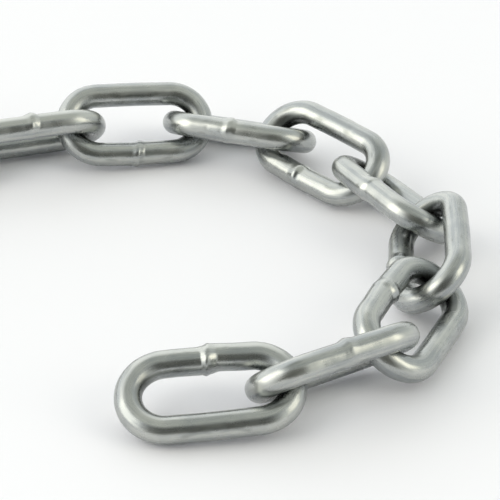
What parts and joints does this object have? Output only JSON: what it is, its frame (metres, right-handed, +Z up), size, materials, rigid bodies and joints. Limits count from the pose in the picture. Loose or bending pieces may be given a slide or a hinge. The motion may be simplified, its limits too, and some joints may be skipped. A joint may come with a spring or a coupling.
{
  "type": "run of welded chain",
  "caption": "Run of zinc-plated, long-oval welded steel chain lying in a loose hook, each link threaded through the next and leaning the other way.",
  "frame": {"origin": "on the floor, under the middle of the chain's box", "axes": "+Z up, +X along the chain's longest extent, from the cut end towards the hook of the free end, +Y across it"},
  "size_m": [0.2134, 0.0914, 0.0119],
  "materials": {
    "zinc_plated_steel": "bright zinc plate, satin gloss"
  },
  "bodies": {
    "link_01": {"link_01": "zinc_plated_steel"},
    "link_02": {"link_02": "zinc_plated_steel"},
    "link_03": {"link_03": "zinc_plated_steel"},
    "link_04": {"link_04": "zinc_plated_steel"},
    "link_05": {"link_05": "zinc_plated_steel"},
    "link_06": {"link_06": "zinc_plated_steel"},
    "link_07": {"link_07": "zinc_plated_steel"},
    "link_08": {"link_08": "zinc_plated_steel"},
    "link_09": {"link_09": "zinc_plated_steel"},
    "link_10": {"link_10": "zinc_plated_steel"},
    "link_11": {"link_11": "zinc_plated_steel"},
    "link_12": {"link_12": "zinc_plated_steel"},
    "link_13": {"link_13": "zinc_plated_steel"},
    "link_14": {"link_14": "zinc_plated_steel"},
    "link_15": {"link_15": "zinc_plated_steel"},
    "link_16": {"link_16": "zinc_plated_steel"}
  },
  "joints": [
    {"name": "swing_01", "type": "hinge", "parent": "link_02", "child": "link_01", "pos_m": [0.07388, -0.03768, 0.00467], "axis": [0.0071, 0.3936, -0.9192], "range_deg": [-90, 90]},
    {"name": "swing_02", "type": "hinge", "parent": "link_03", "child": "link_02", "pos_m": [0.09041, -0.03024, 0.00649], "axis": [0.354, -0.6132, -0.7061], "range_deg": [-90, 90]},
    {"name": "swing_03", "type": "hinge", "parent": "link_04", "child": "link_03", "pos_m": [0.09939, -0.01447, 0.00486], "axis": [0.519, -0.2101, 0.8285], "range_deg": [-90, 90]},
    {"name": "swing_04", "type": "hinge", "parent": "link_05", "child": "link_04", "pos_m": [0.10094, 0.00363, 0.00602], "axis": [0.6565, -0.008, -0.7542], "range_deg": [-90, 75]},
    {"name": "swing_05", "type": "hinge", "parent": "link_06", "child": "link_05", "pos_m": [0.09273, 0.01985, 0.00486], "axis": [-0.4593, -0.2931, -0.8385], "range_deg": [-90, 65]},
    {"name": "swing_06", "type": "hinge", "parent": "link_07", "child": "link_06", "pos_m": [0.08158, 0.03229, 0.00539], "axis": [-0.4202, -0.4112, 0.8089], "range_deg": [-30, 90]},
    {"name": "swing_07", "type": "hinge", "parent": "link_08", "child": "link_07", "pos_m": [0.06497, 0.03904, 0.00454], "axis": [0.1373, 0.449, 0.8829], "range_deg": [-90, 90]},
    {"name": "swing_09", "type": "hinge", "parent": "link_08", "child": "link_09", "pos_m": [0.04252, 0.03489, 0.00592], "axis": [-0.2031, 0.6643, 0.7193], "range_deg": [-90, 90]},
    {"name": "swing_10", "type": "hinge", "parent": "link_09", "child": "link_10", "pos_m": [0.02473, 0.02993, 0.00548], "axis": [0.1106, -0.6984, 0.7071], "range_deg": [-90, 90]},
    {"name": "swing_11", "type": "hinge", "parent": "link_10", "child": "link_11", "pos_m": [0.00649, 0.02749, 0.00592], "axis": [0.0485, -0.693, -0.7193], "range_deg": [-90, 90]},
    {"name": "swing_12", "type": "hinge", "parent": "link_11", "child": "link_12", "pos_m": [-0.01199, 0.02661, 0.00552], "axis": [0.0123, 0.707, -0.7071], "range_deg": [-90, 90]},
    {"name": "swing_13", "type": "hinge", "parent": "link_12", "child": "link_13", "pos_m": [-0.03048, 0.02726, 0.00585], "axis": [0.0493, 0.7054, 0.7071], "range_deg": [-90, 90]},
    {"name": "swing_14", "type": "hinge", "parent": "link_13", "child": "link_14", "pos_m": [-0.04902, 0.02883, 0.00558], "axis": [-0.0605, -0.692, 0.7193], "range_deg": [-90, 90]},
    {"name": "swing_15", "type": "hinge", "parent": "link_14", "child": "link_15", "pos_m": [-0.06752, 0.03075, 0.00587], "axis": [-0.037, -0.7061, -0.7071], "range_deg": [-90, 90]},
    {"name": "swing_16", "type": "hinge", "parent": "link_15", "child": "link_16", "pos_m": [-0.08608, 0.03195, 0.00565], "axis": [-0.0123, 0.707, -0.7071], "range_deg": [-90, 90]}
  ]
}
